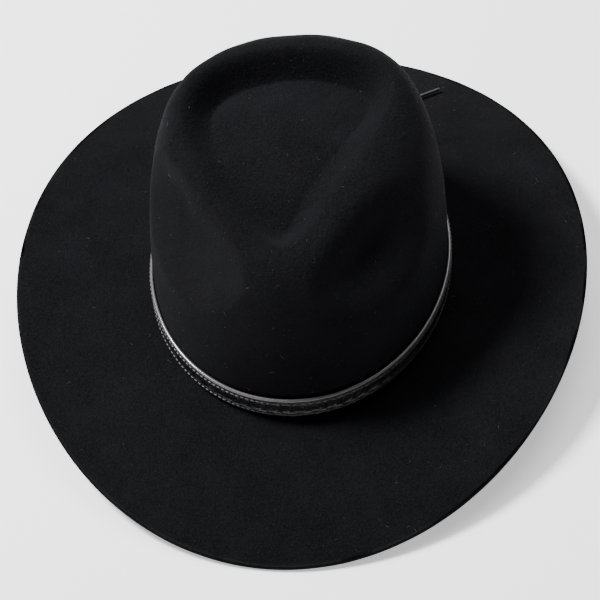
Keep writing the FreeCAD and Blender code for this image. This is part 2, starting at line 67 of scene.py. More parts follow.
def ridgeLine(u):
    # rounded triangle: x = half width * sin u less a second harmonic, y = -half length * cos u
    x = (hat["ridgeX"] + hat["lean"] * np.cos(u) + hat["bow"] * np.cos(2 * u)
         + (hat["halfWide"] - hat["ridgeSide"]) * np.sin(u) - hat["taper"] * np.sin(2 * u))
    y = hat["ridgeY"] - (hat["halfLong"] - hat["ridgeEnd"]) * np.cos(u)
    turn = np.minimum(np.abs((u + np.pi) % (2 * np.pi) - np.pi) * 1.35, np.pi)
    z = hat["frontHeight"] + (hat["backHeight"] - hat["frontHeight"]) * (0.5 - 0.5 * np.cos(turn))
    return np.stack([x, y, z], -1)


def bezier(a, b, c, d, s):
    return a * (1 - s)**3 + 3 * b * s * (1 - s)**2 + 3 * c * s * s * (1 - s) + d * s**3


def plainWall(u, s):
    # cubic curve up each side: base oval, straight up, shoulder oval, ridge
    top = ridgeLine(u)
    sx = hat["shoulderX"] + (hat["halfWide"] + hat["shoulderSide"]) * np.sin(u)
    sy = hat["shoulderY"] - (hat["halfLong"] - hat["shoulderEnd"]) * np.cos(u)
    bx, by = hat["halfWide"] * np.sin(u), -hat["halfLong"] * np.cos(u)
    return np.stack([bezier(bx, bx, sx, top[..., 0], s), bezier(by, by, sy, top[..., 1], s),
                     bezier(0, hat["wallRise"], top[..., 2], top[..., 2], s)], -1)


def normalOf(surface, u, v, step=1e-3):
    one = surface(u + step, v) - surface(u - step, v)
    two = surface(u, v + step) - surface(u, v - step)
    n = np.cross(one, two)
    return n / (np.linalg.norm(n, axis=-1, keepdims=True) + 1e-12)


def uneven(p):
    # shallow swells left by hand shaping: three sines at odd wavelengths multiplied together
    slow = np.sin(p[..., 0] / 11 + 1.3) * np.sin(p[..., 1] / 14 + 0.4) * np.sin(p[..., 2] / 12 + 2)
    return hat["swell"] * (slow + 0.5 * np.sin(p[..., 0] / 5 + p[..., 2] / 7) * np.sin(p[..., 1] / 6 + 1))


def wall(u, s):
    # plain wall pushed in along its normal by depth * (1 - r^2)^2 in an oval either side of the front
    away = np.degrees(np.abs((u + np.pi) % (2 * np.pi) - np.pi))
    r2 = ((away - hat["dentAngle"]) / hat["dentSpread"])**2 + ((s - hat["dentPlace"]) / hat["dentReach"])**2
    crisp = np.where(np.sin(u) < 0, hat["creaseLeft"], 2.0)
    push = hat["dentDepth"] * np.maximum(0, 1 - r2)**crisp
    plain = plainWall(u, s)
    calm = np.clip((s - 0.3) / 0.2, 0, 1) * np.clip((1 - s) / 0.1, 0, 1)    # none under the band or ridge
    return plain - normalOf(plainWall, u, s) * (push + calm * uneven(plain))[..., None]


def crownTop(u, v):
    # v 0 on the ridge, 1 in the middle: falls from the ridge to the dome along a cosine
    edge = ridgeLine(u)
    dx, dy = hat["domeX"], hat["domeY"]
    x, y = edge[..., 0] + (dx - edge[..., 0]) * v, edge[..., 1] + (dy - edge[..., 1]) * v
    fall = np.where(y < dy, hat["domeFall"], hat["domeRound"])
    dome = hat["domeHeight"] - hat["domeRound"] * (x - dx)**2 - fall * (y - dy)**2
    along = ridgeLine(u + 1e-3) - ridgeLine(u - 1e-3)
    along = along / np.linalg.norm(along, axis=-1, keepdims=True)
    reach = np.abs((edge[..., 0] - dx) * along[..., 1] - (edge[..., 1] - dy) * along[..., 0])
    slope = hat["ridgeWall"] + (hat["ridgeWallBack"] - hat["ridgeWall"]) * np.maximum(-np.cos(u), 0)**2
    t = np.minimum(v * reach / slope, 1)
    soft, sharp = 0.5 - 0.5 * np.cos(np.pi * t), 1 - np.cos(np.pi / 2 * t)
    sunk = soft + hat["grooveSharp"] * (sharp - soft)
    top = np.stack([x, y, edge[..., 2] + (dome - edge[..., 2]) * sunk], -1)
    top[..., 2] += 0.8 * uneven(top) * np.clip(v / 0.3, 0, 1)
    return top


def brimTop(u, s):
    # base oval widened evenly to the edge; lift grows as the distance to the power of the curl
    front, back, side = np.maximum(np.cos(u), 0)**2, np.maximum(-np.cos(u), 0)**2, np.sin(u)**2
    wide = hat["brimSide"] * side + hat["brimFront"] * front + hat["brimBack"] * back
    lift = hat["sideRise"] * side - hat["brimDrop"] * (front + back) - hat["twist"] * np.sin(2 * u)
    return np.stack([(hat["halfWide"] + wide * s) * np.sin(u), -(hat["halfLong"] + wide * s) * np.cos(u),
                     lift * s**hat["curl"]], -1)


# ---- small tools
def grid(u, v):
    return np.meshgrid(u, v, indexing="ij")


def meshFrom(name, verts, faces, uv=None, smooth=True):
    mesh = bpy.data.meshes.new(name)
    mesh.from_pydata((np.asarray(verts) * mm).tolist(), [], [list(f) for f in faces])
    mesh.update()
    if smooth:
        mesh.polygons.foreach_set("use_smooth", [True] * len(mesh.polygons))
    if uv is not None:
        layer = mesh.uv_layers.new(name="UVMap")
        loops = np.empty(len(mesh.loops), dtype=int)
        mesh.loops.foreach_get("vertex_index", loops)
        layer.data.foreach_set("uv", np.asarray(uv)[loops].ravel())
    obj = bpy.data.objects.new(name, mesh)
    bpy.context.scene.collection.objects.link(obj)
    return obj


def loopFaces(rows, around, first=0):
    # quads between rings of points, each ring closed on itself
    i, j = np.meshgrid(np.arange(rows - 1), np.arange(around), indexing="ij")
    k = (j + 1) % around
    return (first + np.stack([i * around + j, i * around + k, (i + 1) * around + k, (i + 1) * around + j],
                             -1).reshape(-1, 4)).tolist()


def linear(code):
    # sRGB hex to linear
    rgb = np.array([int(code[k:k + 2], 16) for k in (1, 3, 5)]) / 255
    rgb = np.where(rgb <= 0.04045, rgb / 12.92, ((rgb + 0.055) / 1.055)**2.4)
    return (*rgb.tolist(), 1.0)


def node(tree, kind, settings=None, **links):
    # adds a node, sets its attributes and sockets, and links sockets given as (node, output)
    new = tree.nodes.new(kind)
    for key, value in (settings or {}).items():
        setattr(new, key, value)
    for key, value in links.items():
        byNumber = key[0] == "i" and key[1:].isdigit()
        socket = new.inputs[int(key[1:]) if byNumber else key.replace("_", " ")]
        if isinstance(value, tuple) and len(value) == 2 and isinstance(value[0], bpy.types.Node):
            tree.links.new(value[0].outputs[value[1]], socket)
        else:
            socket.default_value = value
    return new


def newMaterial(name):
    material = bpy.data.materials.new(name)
    material.use_nodes = True
    tree = material.node_tree
    tree.nodes.clear()
    out = tree.nodes.new("ShaderNodeOutputMaterial")
    shader = tree.nodes.new("ShaderNodeBsdfPrincipled")
    tree.links.new(shader.outputs[0], out.inputs[0])
    return material, tree, shader


def ringed(name, rows, closedEnds=False, loop=False, uv=None):
    # rows of points round the hat, each row closed; first and last row end in a pole or join each other
    count, around = rows.shape[:2]
    verts, faces = rows.reshape(-1, 3), loopFaces(count, around)
    j = np.arange(around)
    k = (j + 1) % around
    if loop:
        last = (count - 1) * around
        faces += np.stack([last + j, last + k, k, j], -1).tolist()
    if closedEnds:
        verts = np.concatenate([verts, rows[:1].mean(1), rows[-1:].mean(1)])
        pole, end = count * around, (count - 1) * around
        faces += np.stack([pole + 0 * j, k, j], -1).tolist()
        faces += np.stack([end + j, end + k, pole + 1 + 0 * j], -1).tolist()
    return meshFrom(name, verts, faces, uv)


def tube(name, path, radius, sides=14, closed=False):
    # circle carried along a path of points, with its ends closed
    path = np.asarray(path, float)
    ahead = np.gradient(path, axis=0)
    if closed:
        ahead = np.roll(path, -1, 0) - np.roll(path, 1, 0)
    ahead /= np.linalg.norm(ahead, axis=1, keepdims=True)
    side = np.cross(ahead, np.array([0.13, 0.31, 0.94]))
    side /= np.linalg.norm(side, axis=1, keepdims=True)
    other = np.cross(ahead, side)
    turn = np.arange(sides) / sides * 2 * np.pi
    wide = np.broadcast_to(np.asarray(radius, float), (len(path),))[:, None, None]
    spoke = np.cos(turn)[None, :, None] * side[:, None] + np.sin(turn)[None, :, None] * other[:, None]
    rows = path[:, None] + wide * spoke
    return ringed(name, rows, closedEnds=not closed, loop=closed)


def smoothPath(points, steps=10):
    # uniform Catmull-Rom curve through the points
    p = np.asarray(points, float)
    p = np.concatenate([2 * p[:1] - p[1:2], p, 2 * p[-1:] - p[-2:-1]])
    t = np.linspace(0, 1, steps, endpoint=False)[:, None]
    runs = [0.5 * (2 * b + (c - a) * t + (2 * a - 5 * b + 4 * c - d) * t**2 + (3 * b - a - 3 * c + d) * t**3)
            for a, b, c, d in zip(p, p[1:], p[2:], p[3:])]
    return np.concatenate(runs + [p[-2:-1]])


def finishPiece(obj, body, slotName, material, *nodes):
    obj.data.materials.append(material)
    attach(obj, body)
    if nodes:
        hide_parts(*nodes)
    return obj


rng = np.random.default_rng(7)


def roundHat(count):
    # even turns round the hat, from the back
    return -np.pi + np.arange(count) / count * 2 * np.pi


turns = roundHat(288)


# ---- felt
felt = {"thick": hat["felt"], "lip": 0.7, "lintSpecks": 800, "lintCurls": 130,
        "dark": "#040405", "light": "#141417"}


def feltLayer(u, s, depth):
    return wall(u, s) - normalOf(wall, u, s) * np.asarray(depth)[..., None]


def topLayer(u, v, depth):
    return crownTop(u, v) - normalOf(crownTop, u, np.maximum(v, 2e-3)) * depth


def brimRow(u, s, drop):
    p = brimTop(u, s)
    p[..., 2] += 0.5 * uneven(p * [1, 1, 0] + [0, 0, 9]) * s - drop
    p[..., 2] = np.maximum(p[..., 2], hat["felt"] - drop - baseZ)
    return p


inward = np.concatenate([np.linspace(0, 0.5, 40)[1:], np.linspace(0.5, 0.985, 26)[1:]])
climb = np.linspace(0, 1, 66)
outward = np.linspace(0, 0.994, 42)
lipTurn = np.linspace(-np.pi / 2, np.pi / 2, 9)

feltParts = [topLayer(*grid(inward[::-2], turns)[::-1], felt["thick"]),
             feltLayer(*grid(climb[::-2], turns)[::-1], felt["thick"]),
             brimRow(*grid(outward[::2], turns)[::-1], felt["thick"])]
brimEdge = brimRow(turns, np.full_like(turns, 1.0), 0)
justInside = brimRow(turns, np.full_like(turns, 0.99), 0)
away = (brimEdge - justInside) / np.linalg.norm(brimEdge - justInside, axis=-1, keepdims=True)
bulge = felt["lip"] * np.sqrt(np.cos(lipTurn).clip(0))
level = -felt["thick"] / 2 * (1 - np.sign(np.sin(lipTurn)) * np.abs(np.sin(lipTurn))**0.7)
lip = (brimEdge[None] + away[None] * (bulge - felt["lip"])[:, None, None]
       + np.array([0, 0, 1.0]) * level[:, None, None])
feltParts += [lip, brimRow(*grid(outward[:0:-1], turns)[::-1], 0), feltLayer(*grid(climb, turns)[::-1], 0),
              topLayer(*grid(inward, turns)[::-1], 0)]
feltRows = np.concatenate(feltParts) + seat
feltHat = ringed("felt_hat", feltRows, closedEnds=True)
print("felt shaped")


# ---- lint caught in the nap: specks and curled hairs
def hairs(name, count, length, curl, radius, steps):
    # circular arc of a few steps lying on the felt, turned about the surface normal, as three-sided tubes
    mesh = feltHat.data
    centres = np.empty(len(mesh.polygons) * 3)
    normals = np.empty(len(mesh.polygons) * 3)
    mesh.polygons.foreach_get("center", centres)
    mesh.polygons.foreach_get("normal", normals)
    centres, normals = centres.reshape(-1, 3), normals.reshape(-1, 3)
    areas = np.empty(len(mesh.polygons))
    mesh.polygons.foreach_get("area", areas)
    bottom = sum(len(p) for p in feltParts[:4]) * len(turns)
    weight = areas * (np.arange(len(areas)) > bottom)
    pick = rng.choice(len(areas), count, p=weight / weight.sum())
    base, up = centres[pick] / mm, normals[pick]
    side = np.cross(up, rng.normal(size=(count, 3)))
    side /= np.linalg.norm(side, axis=1, keepdims=True)
    other = np.cross(up, side)
    long = length * rng.uniform(0.5, 1.3, count)
    bend = curl * rng.uniform(-1, 1, count)
    t = np.linspace(0, 1, steps)
    angle = bend[:, None] * t
    safe = np.where(np.abs(bend) < 0.05, 0.05, bend)[:, None]
    along, across = np.sin(safe * t) / safe, (1 - np.cos(safe * t)) / safe
    lift = 0.12 + 0.35 * np.sin(np.pi * t)[None] * rng.uniform(0, 1, count)[:, None]
    arc = along[..., None] * side[:, None] + across[..., None] * other[:, None]
    path = base[:, None] + long[:, None, None] * arc + up[:, None] * lift[..., None]
    turn = np.arange(3) / 3 * 2 * np.pi
    spoke = np.cos(turn)[:, None] * up[:, None, None] + np.sin(turn)[:, None] * other[:, None, None]
    thin = radius * (1 - 0.7 * (2 * t - 1)**2)
    verts = (path[:, :, None] + spoke * thin[None, :, None, None]).reshape(-1, 3)
    one = np.array([[i * 3 + j, i * 3 + (j + 1) % 3, (i + 1) * 3 + (j + 1) % 3, (i + 1) * 3 + j]
                    for i in range(steps - 1) for j in range(3)])
    faces = (np.arange(count)[:, None, None] * steps * 3 + one).reshape(-1, 4).tolist()
    first = np.arange(count) * steps * 3
    faces += np.stack([first, first + 2, first + 1], -1).tolist()
    last = first + (steps - 1) * 3
    faces += np.stack([last, last + 1, last + 2], -1).tolist()
    return meshFrom(name, verts, faces)


lintSpecks = hairs("lint_specks", felt["lintSpecks"], 0.45, 0.6, 0.11, 3)
lintCurls = hairs("lint_curls", felt["lintCurls"], 3.0, 3.2, 0.07, 7)
print("lint laid")


# ---- leather band
bandLow, bandHigh = (np.array(c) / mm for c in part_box("hat_band_strap"))
band = {"thick": 2.1, "high": 16.6, "gap": 8.0, "bead": 2.1, "stitchInset": 2.6, "cell": 8.0,
        "cellLow": 3.6, "cellHigh": 13.0, "relief": 0.62, "steps": 1180, "topInset": 0.6,
        "threadRadius": 0.33, "stitchLong": 2.5, "stitchPitch": 3.1, "threadOut": 0.10, "stitchEnd": 2.5,
        "slant": 0.10}
bandX, bandY = (bandHigh[0] - bandLow[0]) / 2 - band["thick"], (bandHigh[1] - bandLow[1]) / 2 - band["thick"]
bandFoot = np.array([seat[0], seat[1], bandLow[2]])
halfGap = math.asin(band["gap"] / 2 / bandX)
bandTurn = np.linspace(-np.pi + halfGap, np.pi - halfGap, band["steps"])
pace = np.hypot((bandX + band["thick"]) * np.cos(bandTurn), (bandY + band["thick"]) * np.sin(bandTurn))
bandRun = np.concatenate([[0], np.cumsum((pace[1:] + pace[:-1]) / 2 * np.diff(bandTurn))])   # mm along it


def bandPoint(u, outwards, height):
    x, y = (bandX + outwards) * np.sin(u), -(bandY + outwards) * np.cos(u)
    return np.stack(np.broadcast_arrays(x, y, height), -1) + bandFoot


def embossed(run, height):
    # one row of leaves of uneven width: raised oval outlines that lean and bow, each with a curved vein
    widths = band["cell"] * np.random.default_rng(3).uniform(0.7, 1.3, 120)
    edges = np.concatenate([[-4], np.cumsum(widths)])
    middle, half = (band["cellLow"] + band["cellHigh"]) / 2, (band["cellHigh"] - band["cellLow"]) / 2
    w = (height - middle) / half
    shifted = run + 1.3 * (w**2 - 0.4) + 0.7 * w * np.sin(run / 17)
    index = np.clip(np.searchsorted(edges, shifted) - 1, 0, len(widths) - 1)
    t = 2 * (shifted - edges[index]) / widths[index] - 1
    rim = (np.abs(t)**2.6 + np.abs(w)**2.6)**(1 / 2.6)
    outline = np.exp(-((rim - 0.86) / 0.085)**2)
    vein = 0.7 * np.exp(-((t - 0.45 * np.sin(2.2 * w + index)) / 0.10)**2) * (rim < 0.74)
    pebble = 0.10 * np.sin(run * 2.9 + 3 * w) * np.sin(height * 3.1 + run / 3)
    return band["relief"] * (outline + vein + pebble) * (np.abs(w) < 1.15)


def strapSection(run):
    # outline of the strap for each place along it: back face, rounded foot, outer face, bead at the top
    thick, high, beadRadius = band["thick"], band["high"], band["bead"] / 2
    low = np.linspace(-np.pi / 2, 0, 6)
    faceHeights = np.linspace(beadRadius + 0.1, high - beadRadius - 0.1, 44)
    top = np.linspace(0, np.pi, 11)
    h, r = grid(faceHeights, run)
    groove = (0.45 * np.exp(-((h - (high - 2.35)) / 0.30)**2) + 0.30 * np.exp(-((h - 2.0) / 0.3)**2)
              + 0.16 * np.exp(-((h - band["stitchInset"]) / 0.5)**2)
              + 0.16 * np.exp(-((h - high + band["stitchInset"] + 0.6) / 0.5)**2)
              + 0.55 / (1 + np.exp((np.abs(h - high / 2) - high / 2 + 3.7) / 0.12)))
    for side in (0, run[-1]):
        spot = np.hypot(r - abs(side - 6.2), h - high / 2)
        groove = groove + 0.3 * np.exp(-(spot / 1.6)**2)     # leather drawn in round the lace holes
    face = thick - groove + embossed(r, h)
    ones = np.ones_like(run)
    outs = [np.outer([0.1, 0, 0, 0.1], ones),
            np.outer(thick - beadRadius + beadRadius * np.cos(low), ones), face,
            np.outer(thick - beadRadius + beadRadius * np.cos(top), ones)]
    heights = [np.outer([high - beadRadius - 0.5, high * 0.66, high * 0.33, 0.5], ones),
               np.outer(beadRadius * (1 + np.sin(low)), ones), h,
               np.outer(high - beadRadius + beadRadius * np.sin(top), ones)]
    return np.concatenate(outs), np.concatenate(heights)


outs, heights = strapSection(bandRun)
fromEnd = np.minimum(bandRun, bandRun[-1] - bandRun)
fade = np.minimum(1, np.sqrt(np.clip(fromEnd / 0.9, 0.02, 1)))                  # rounded ends
outs = band["thick"] / 2 + (outs - band["thick"] / 2) * fade
heights = band["high"] / 2 + (heights - band["high"] / 2) * (1 - 0.05 * (1 - fade))
strapRows = bandPoint(bandTurn[:, None], outs.T, heights.T)
sectionCount = strapRows.shape[1]
strapUv = np.stack([np.repeat(bandRun, sectionCount) * mm, heights.T.ravel() * mm], -1)
strapUv = np.concatenate([strapUv, [[0, 0.008], [bandRun[-1] * mm, 0.008]]])
strap = ringed("hat_band", strapRows, closedEnds=True, uv=strapUv)
quads = np.arange(len(strap.data.polygons)) % sectionCount
glossAndPaintedHighlightEdges = ((quads >= sectionCount - 12) | ((quads >= 4) & (quads < 9))).astype(np.int32)   # rounded edges: glossy, with a paler colour that is a painted highlight


def stitchRow(name, height, radius, length, pitch, outwards, first, last, point, tilt=0.0):
    # separate short stitches: six-sided capsules laid along the row, sunk at both ends
    count = int((last - first) / pitch)
    places = first + (np.arange(count) + 0.5) * (last - first) / count
    t = np.linspace(-1, 1, 6)
    turn = np.arange(6) / 6 * 2 * np.pi
    along = places[:, None, None] + t[None, :, None] * length / 2 + 0 * turn
    thin = radius * np.sqrt(np.clip(1.04 - t**4, 0, 1))[None, :, None]
    high = height + thin * np.sin(turn) + tilt * t[None, :, None]
    away = outwards + thin * np.cos(turn) - 0.5 * radius * t[None, :, None]**4
    verts = point(along, away + 0 * high, high).reshape(-1, 3)
    one = np.array(loopFaces(6, 6))
    faces = (np.arange(count)[:, None, None] * 36 + one).reshape(-1, 4).tolist()
    for row, order in ((0, -1), (5, 1)):
        cap = np.arange(6)[::order] + row * 6
        faces += (np.arange(count)[:, None] * 36 + cap).tolist()
    return meshFrom(name, verts, faces)


def alongBand(run, outwards, height):
    return bandPoint(np.interp(run, bandRun, bandTurn), outwards, height)




def bandStitches(name, height):
    return stitchRow(name, height, band["threadRadius"], band["stitchLong"], band["stitchPitch"],
                     band["thick"] + band["threadOut"], band["stitchEnd"], bandRun[-1] - band["stitchEnd"],
                     alongBand, band["slant"])


lowerStitches = bandStitches("hat_band_lower_stitches", band["stitchInset"])
upperStitches = bandStitches("hat_band_upper_stitches", band["high"] - band["stitchInset"] - band["topInset"])
print("band tooled and stitched")


# ---- lace, its knot and its two free ends
knotLow, knotHigh = (np.array(c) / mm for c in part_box("lace_knot"))
knotMiddle = (knotLow + knotHigh) / 2
lace = {"radius": 1.0, "holes": 20.0, "wraps": 2.6, "wrapRadius": 2.05, "wrapWidth": 5.3,
        "left": [(2.9, 1.6, -1.2), (13, 8, -4.4), (27, 17.5, -9.2), (41, 28, -11.9), (55.5, 38.5, -13.9),
                 (67.5, 47.6, -15.6)],
        "right": [(-2.9, 1.6, -1.4), (-12, 8.6, -5.2), (-23, 18.5, -9.4), (-33.5, 30, -12.2),
                  (-46, 38.5, -13.8), (-57, 45, -15.0)],
        "leftLength": 0.0808, "rightLength": 0.0712}
halfHoles = lace["holes"] / 2
barPath = smoothPath([(-halfHoles, -2.6, 0), (-halfHoles, -1.2, 0), (-halfHoles + 0.5, -0.15, 0),
                      (-halfHoles + 2.4, 0.1, 0), (-3, 0, 0.1), (3, 0, -0.1),
                      (halfHoles - 2.4, 0.1, 0), (halfHoles - 0.5, -0.15, 0),
                      (halfHoles, -1.2, 0), (halfHoles, -2.6, 0)]) + knotMiddle
laceBar = tube("lace_bar", barPath, 0.96)
wrap = np.linspace(0, 1, 90)
wrapTurn = wrap * lace["wraps"] * 2 * np.pi + 2.2
wrapReach = lace["wrapRadius"] * np.clip(np.minimum(wrap, 1 - wrap) / 0.08 + 0.45, 0, 1)
wrapPath = np.stack([(wrap - 0.5) * lace["wrapWidth"], wrapReach * np.cos(wrapTurn),
                     wrapReach * np.sin(wrapTurn)], -1)
laceKnot = tube("lace_wraps", wrapPath + knotMiddle, 0.98)


def freeLace(name, offsets):
    # smooth NURBS line through the route's points as its control points
    curve = bpy.data.curves.new(name, "CURVE")
    curve.dimensions = "3D"
    curve.bevel_depth = lace["radius"] * mm
    curve.bevel_resolution = 3
    curve.use_fill_caps = True
    spline = curve.splines.new("NURBS")
    spline.points.add(len(offsets) - 1)
    for place, offset in zip(spline.points, offsets):
        place.co = (*((knotMiddle + np.array(offset)) * mm), 1)
    spline.order_u = 3
    spline.use_endpoint_u = True
    spline.resolution_u = 12
    obj = bpy.data.objects.new(name, curve)
    bpy.context.scene.collection.objects.link(obj)
    return obj


leftEnd = freeLace("lace_end_left", lace["left"])
rightEnd = freeLace("lace_end_right", lace["right"])
print("lace tied")


# ---- what is sewn inside: depths are below the felt's outer face, heights above the base line
inside = {"lining": (2.45, 2.75), "leather": (2.90, 3.70), "sweatTop": 44.0, "sweatFoot": 0.99,
          "lean": 0.7, "leanFrom": 26.0,
          "stitchHeight": 3.2, "hem": 34.0, "seam": 0.84, "seamGap": 0.012, "slack": 0.6,
          "tipDrop": 1.6, "tipThick": 0.45,
          "pleats": 46, "pleatDepth": 0.16}


def riseAt(u, height):
    # rise whose point on the plain wall is at this height, by halving the interval
    low, high = np.zeros_like(height), np.ones_like(height)
    topZ = ridgeLine(u)[..., 2]
    for _ in range(24):
        middle = (low + high) / 2
        under = bezier(0, hat["wallRise"], topZ, topZ, middle) < height
        low, high = np.where(under, middle, low), np.where(under, high, middle)
    return low


def liner(u, height, depth):
    u, height, depth = np.broadcast_arrays(u, height, depth)
    p = feltLayer(u, riseAt(u, np.maximum(height, 0.0)), depth)
    p[..., 2] = np.where(height > 0, p[..., 2], height)
    return p + seat


def sweatDepth(height, depth):
    # leather stands a little away from the crown towards its top
    t = np.clip((height - inside["leanFrom"]) / (inside["sweatTop"] - inside["leanFrom"]), 0, 1)
    return depth + inside["lean"] * t * t * (3 - 2 * t)


def turned(corners):
    # ring whose section is a closed outline of (depth, height)
    depth, height = np.array(corners, float).T
    u = turns[::-1]                              # points run the other way round the hat
    return liner(u[None], height[:, None], depth[:, None])


leatherOut, leatherIn = inside["leather"]
upHeights = np.linspace(inside["sweatFoot"], inside["sweatTop"] - 0.3, 14)
sweatOutline = ([(sweatDepth(h, leatherOut), h) for h in upHeights]
                + [(sweatDepth(inside["sweatTop"], leatherOut + 0.4 - 0.4 * math.cos(a)),
                    inside["sweatTop"] - 0.3 + 0.3 * math.sin(a))
                   for a in np.linspace(0.5, math.pi - 0.5, 5)]
                + [(sweatDepth(h, leatherIn), h) for h in upHeights[::-1]])
sweatband = ringed("sweatband_leather", turned(sweatOutline), loop=True)


def alongLiner(run, outwards, height):
    # run is the angle in hundredths of a radian
    return liner(run / 100, height, outwards)


sweatStitches = stitchRow("sweatband_stitches", inside["stitchHeight"], 0.24, 2.3, 2.9, leatherIn + 0.28,
                          -100 * np.pi, 100 * np.pi, alongLiner, 0.25)


def sewnPatch(name, low, high, left, right, near, far, ripple=0.0):
    # thin curved patch on the back of the sweatband: two grids joined round their edges
    us = np.pi - np.arcsin(np.linspace(left, right, 13) / hat["halfWide"])
    hs = np.linspace(low, high, 17)
    u, h = grid(us, hs)
    wave = ripple * np.sin(h * 2.1)
    outer, inner = liner(u, h, sweatDepth(h, near)), liner(u, h, sweatDepth(h, far) + wave)
    m, n = u.shape
    k = np.arange(m * n).reshape(m, n)
    faces = np.stack([k[:-1, :-1], k[1:, :-1], k[1:, 1:], k[:-1, 1:]], -1).reshape(-1, 4)
    rim = np.concatenate([k[:-1, 0], k[-1, :-1], k[:0:-1, -1], k[0, :0:-1]])
    following = np.roll(rim, -1)
    sides = np.stack([rim, rim + m * n, following + m * n, following], -1)
    faces = np.concatenate([faces, faces[:, ::-1] + m * n, sides])
    verts = np.concatenate([outer.reshape(-1, 3), inner.reshape(-1, 3)])
    return meshFrom(name, verts, faces.tolist(), smooth=False)


tapeLow, tapeHigh = (np.array(c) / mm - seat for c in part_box("sweatband_back_tape"))
backTape = sewnPatch("sweatband_back_ribbon", tapeLow[2], tapeHigh[2], -7, 7, leatherIn + 0.1,
                     leatherIn + 0.45, 0.05)

bowLow, bowHigh = (np.array(c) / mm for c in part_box("sweatband_bow"))
bow = {"reach": (bowHigh[0] - bowLow[0]) / 2 - 0.3, "high": bowHigh[2] - bowLow[2],
       "deep": (bowHigh[1] - bowLow[1]) / 2 - 0.3, "thick": 0.28}
bowMiddle = (bowLow + bowHigh) / 2


def ribbonBow():
    # figure of eight seen from above, carried up by a width that narrows to the knot
    t = np.linspace(0, 2 * np.pi, 97)[:-1]
    across = np.linspace(-1, 1, 9)
    tt, ww = grid(t, across)
    wide = bow["high"] / 2 * (0.42 + 0.58 * np.abs(np.sin(tt))**0.8)
    x = bow["reach"] * np.sin(tt)
    y = bow["deep"] * 0.8 * np.sin(2 * tt) + 0.12 * np.cos(ww * 9) * (1 - np.abs(np.sin(tt)))
    z = wide * ww
    k = np.arange(t.size * across.size).reshape(t.size, across.size)
    nxt = np.roll(k, -1, 0)
    faces = np.stack([k[:, :-1], nxt[:, :-1], nxt[:, 1:], k[:, 1:]], -1).reshape(-1, 4)
    loops = meshFrom("ribbon_bow_loops", np.stack([x, y, z], -1).reshape(-1, 3) + bowMiddle, faces.tolist())
    a = np.linspace(0, 2 * np.pi, 33)[:-1]
    aa, xx = grid(a, np.linspace(-1.5, 1.5, 7))
    puff = 1 + 0.10 * np.cos(xx * 1.6)
    knot = np.stack([xx, puff * (bow["deep"] * 0.72) * np.cos(aa),
                     puff * bow["high"] * 0.27 * np.sin(aa)], -1)
    k = np.arange(aa.size).reshape(aa.shape)
    nxt = np.roll(k, -1, 0)
    faces = np.stack([k[:, :-1], k[:, 1:], nxt[:, 1:], nxt[:, :-1]], -1).reshape(-1, 4)
    wrapOver = meshFrom("ribbon_bow_knot", knot.reshape(-1, 3) + bowMiddle, faces.tolist())
    for obj in (loops, wrapOver):
        thickness = obj.modifiers.new("thickness", "SOLIDIFY")
        thickness.thickness = bow["thick"] * mm
        thickness.offset = 0
    return loops, wrapOver


bowLoops, bowKnot = ribbonBow()
print("sweatband sewn")


# ---- satin lining: side panel, tip, piping in their seam
def sideDepth(u, s, depth):
    t = np.clip((s - loose) / 0.1, 0, 1)
    pleat = inside["pleatDepth"] * np.cos(u * inside["pleats"]) * np.clip((s - loose) / 0.15, 0, 1)
    return depth + inside["slack"] * t * t * (3 - 2 * t) + pleat


atSide = np.array(np.pi / 2)
loose = float(riseAt(atSide, np.array(inside["sweatTop"])))     # rise where the lining leaves the sweatband
hemRise = float(riseAt(atSide, np.array(inside["hem"])))
panelRise = np.linspace(hemRise, inside["seam"] - inside["seamGap"], 20)
s, u = grid(panelRise, turns[::-1])
liningOut, liningIn = inside["lining"]
sidePanel = np.concatenate([feltLayer(u, s, sideDepth(u, s, liningOut)),
                            feltLayer(u, s, sideDepth(u, s, liningIn))[::-1]]) + seat
liningSide = ringed("lining_side_satin", sidePanel, loop=True)


def hungTip(drop):
    # tip of the lining, from the seam over the ridge to the middle, let straight down by a drop
    s, u = grid(np.linspace(inside["seam"] + inside["seamGap"], 0.995, 10), turns[::-1])
    v, w = grid(np.concatenate([inward[1::2], [0.992]]), turns[::-1])
    rows = np.concatenate([feltLayer(u, s, liningOut), topLayer(w, v, liningOut)])
    return rows + seat - [0, 0, drop]


outerTip, innerTip = hungTip(inside["tipDrop"]), hungTip(inside["tipDrop"] + inside["tipThick"])
liningTip = ringed("lining_tip_satin", np.concatenate([innerTip[::-1], outerTip]), closedEnds=True)
pipingDepth = liningIn + 2 * inside["slack"] + inside["tipDrop"] + 1.0
fineTurns = roundHat(420)
pipingPath = feltLayer(fineTurns, np.full_like(fineTurns, inside["seam"]), pipingDepth) + seat
piping = tube("lining_piping_cord", pipingPath, 1.0, sides=10, closed=True)
print("lining hung")


# ---- finishes
def coordinates(tree):
    return node(tree, "ShaderNodeTexCoord"), "Object"


def bumped(tree, shader, height, strength, distance):
    bump = node(tree, "ShaderNodeBump", None, Strength=strength, Distance=distance, Height=height)
    tree.links.new(bump.outputs[0], shader.inputs["Normal"])


def blended(tree, factor, dark, light):
    mix = node(tree, "ShaderNodeMix", {"data_type": "RGBA"}, i0=factor)
    mix.inputs[6].default_value, mix.inputs[7].default_value = linear(dark), linear(light)
    return mix, 2


